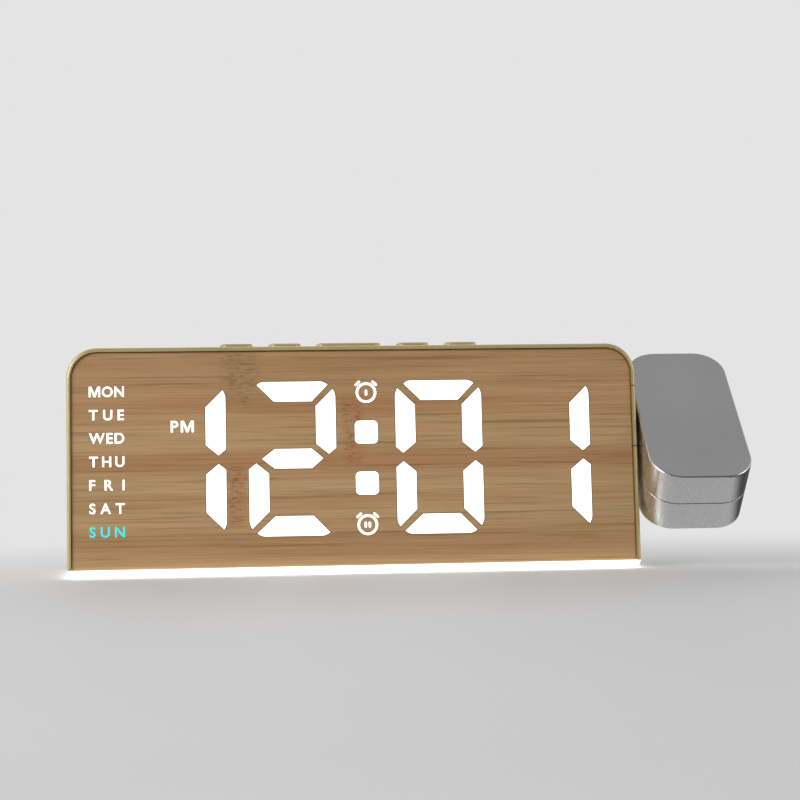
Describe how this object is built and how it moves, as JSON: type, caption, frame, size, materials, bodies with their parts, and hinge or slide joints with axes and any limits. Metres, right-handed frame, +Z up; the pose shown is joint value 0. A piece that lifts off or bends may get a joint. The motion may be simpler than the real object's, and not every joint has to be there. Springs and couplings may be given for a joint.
{
  "type": "projection alarm clock",
  "caption": "Leaning bar-shaped digital alarm clock with a wood-grain front, a glowing foot, top buttons and a swinging projector arm on its side.",
  "frame": {"origin": "centre of the flat underside of the mat under the clock body", "axes": "+X along the body towards the projector arm, +Y from the display towards the rear, +Z up"},
  "size_m": [0.2254, 0.0622, 0.0766],
  "materials": {
    "champagne": "satin champagne paint",
    "wood_panel": "satin bamboo-grain film",
    "lit_window": "glowing white window",
    "frosted_base": "frosted, glowing",
    "silver_shell": "fine brushed silver",
    "rubber": "matte",
    "white_plastic": "matte",
    "green_board": "solder mask",
    "lamp": "clear",
    "black_plastic": "matte",
    "zinc_screw": "zinc plated",
    "steel": "plated",
    "paper_cone": "matte",
    "nylon": "waxy",
    "glass": "clear",
    "aluminium_plate": "bare"
  },
  "bodies": {
    "body": {"housing": "champagne", "hinge_block": "champagne", "hinge_block_screws": "zinc_screw", "rear_cover": "champagne", "rear_screws": "zinc_screw", "front_panel": "wood_panel", "lit_segments": "lit_window", "display_reflector": "white_plastic", "display_board": "green_board", "segment_leds": "lamp", "display_screws": "zinc_screw", "light_base": "frosted_base", "base_screws": "zinc_screw", "anti_slip_mat": "rubber", "night_light_board": "green_board", "night_light_leds": "lamp", "main_board": "green_board", "main_board_chips": "black_plastic", "main_board_screws": "zinc_screw", "usb_c_socket": "steel", "usb_a_socket": "steel", "coin_cell": "steel", "cell_contacts": "steel", "speaker_frame": "black_plastic", "speaker_magnet": "steel", "speaker_cone": "paper_cone", "button_board": "green_board", "button_switches": "black_plastic", "button_board_screws": "zinc_screw", "pivot_bush": "nylon", "friction_washer": "nylon", "projector_cable": "black_plastic"},
    "projector_arm": {"pivot_shaft": "steel", "pivot_retainer": "steel", "arm_upper_shell": "silver_shell", "arm_lower_shell": "silver_shell", "arm_screws": "zinc_screw", "projector_driver_board": "green_board", "projector_driver_chips": "black_plastic", "lens_barrel": "black_plastic", "condenser_lens": "glass", "lcd_slide": "glass", "projector_led_board": "aluminium_plate", "projector_led": "lamp"},
    "focus_ring": {"focus_ring": "black_plastic"},
    "lens_cell": {"lens_cell": "black_plastic", "projection_lens": "glass"},
    "battery_door": {"battery_door": "champagne", "battery_door_screw": "zinc_screw"},
    "set_button": {"set_button": "champagne"},
    "up_button": {"up_button": "champagne"},
    "snooze_button": {"snooze_button": "champagne"},
    "down_button": {"down_button": "champagne"},
    "projector_button": {"projector_button": "champagne"}
  },
  "joints": [
    {"name": "projector_swing", "type": "hinge", "parent": "body", "child": "projector_arm", "pos_m": [0.0959, 0.003, 0.0508], "axis": [1, 0, 0], "range_deg": [-42.1, 137.9]},
    {"name": "set_press", "type": "slide", "parent": "body", "child": "set_button", "axis": [0, 0, -1], "range_m": [0, 0.0008], "stiffness_N_per_m": 800},
    {"name": "up_press", "type": "slide", "parent": "body", "child": "up_button", "axis": [0, 0, -1], "range_m": [0, 0.0008], "stiffness_N_per_m": 800},
    {"name": "snooze_press", "type": "slide", "parent": "body", "child": "snooze_button", "axis": [0, 0, -1], "range_m": [0, 0.0008], "stiffness_N_per_m": 800},
    {"name": "down_press", "type": "slide", "parent": "body", "child": "down_button", "axis": [0, 0, -1], "range_m": [0, 0.0008], "stiffness_N_per_m": 800},
    {"name": "projector_press", "type": "slide", "parent": "body", "child": "projector_button", "axis": [0, 0, -1], "range_m": [0, 0.0008], "stiffness_N_per_m": 800},
    {"name": "focus_turn", "type": "hinge", "parent": "projector_arm", "child": "focus_ring", "pos_m": [0.11315, 0.0171, 0.06354], "axis": [0, 0.742, 0.6704], "range_deg": [-60, 60]},
    {"name": "lens_travel", "type": "slide", "parent": "projector_arm", "child": "lens_cell", "axis": [0, 0.742, 0.6704], "range_m": [-0.00075, 0.00075]},
    {"name": "battery_door_pull", "type": "slide", "parent": "body", "child": "battery_door", "axis": [0, 0.9945, 0.1045], "range_m": [0, 0.012]}
  ],
  "couplings": [
    {"joint": "focus_turn", "follows": "lens_travel", "rad_per_m": 1396.3}
  ]
}
